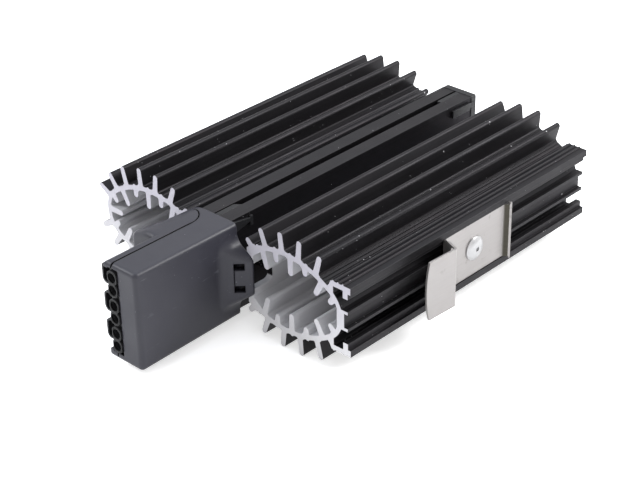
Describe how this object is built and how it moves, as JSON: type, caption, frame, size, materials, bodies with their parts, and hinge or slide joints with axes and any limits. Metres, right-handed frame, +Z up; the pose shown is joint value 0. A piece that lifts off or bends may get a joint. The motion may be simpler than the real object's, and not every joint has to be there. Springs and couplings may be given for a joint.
{
  "type": "enclosure heater",
  "caption": "Black finned aluminium heater with two open air tubes, a heating core between them, a clamp housing at one end and a spring clip for a 35 mm rail.",
  "frame": {"origin": "centre of the part's bounding box, at the height of its lowest fins", "axes": "+X across the two tubes, towards the rail clip; +Y along the tubes, away from the clamp housing; +Z up"},
  "size_m": [0.1298, 0.1788, 0.0447],
  "materials": {
    "black_anodised": "black anodised, satin, bright where cut",
    "black_plastic": "fine matt",
    "housing_plastic": "fine matt, dark blue-grey",
    "copper": "tinned copper",
    "spring_steel": "bright spring steel",
    "clip_steel": "bright stainless sheet",
    "rivet_metal": "bright",
    "heating_ceramic": "fired, matt",
    "film": "smooth amber film",
    "frame_plastic": "heat-resistant, pale",
    "electrode_metal": "rolled",
    "lead_brown": "smooth insulation",
    "lead_blue": "smooth insulation",
    "lead_green": "smooth insulation",
    "zinc_steel": "bright zinc"
  },
  "bodies": {
    "root": {"heat_sink_profile": "black_anodised", "front_collar": "black_plastic", "rear_cap": "black_plastic", "main_shell": "housing_plastic", "cover_shell": "housing_plastic", "terminal_block": "black_plastic", "contact_line": "copper", "contact_neutral": "copper", "contact_earth": "copper", "clamp_springs": "spring_steel", "electrode_line": "electrode_metal", "electrode_neutral": "electrode_metal", "ptc_elements": "heating_ceramic", "ptc_frame": "frame_plastic", "insulating_sleeve": "film", "receptacle_line": "copper", "receptacle_neutral": "copper", "lead_line": "lead_brown", "lead_neutral": "lead_blue", "lead_earth": "lead_green", "earth_lug": "copper", "earth_screw": "zinc_steel", "din_rail_clip": "clip_steel", "clip_rivet": "rivet_metal"}
  },
  "joints": []
}
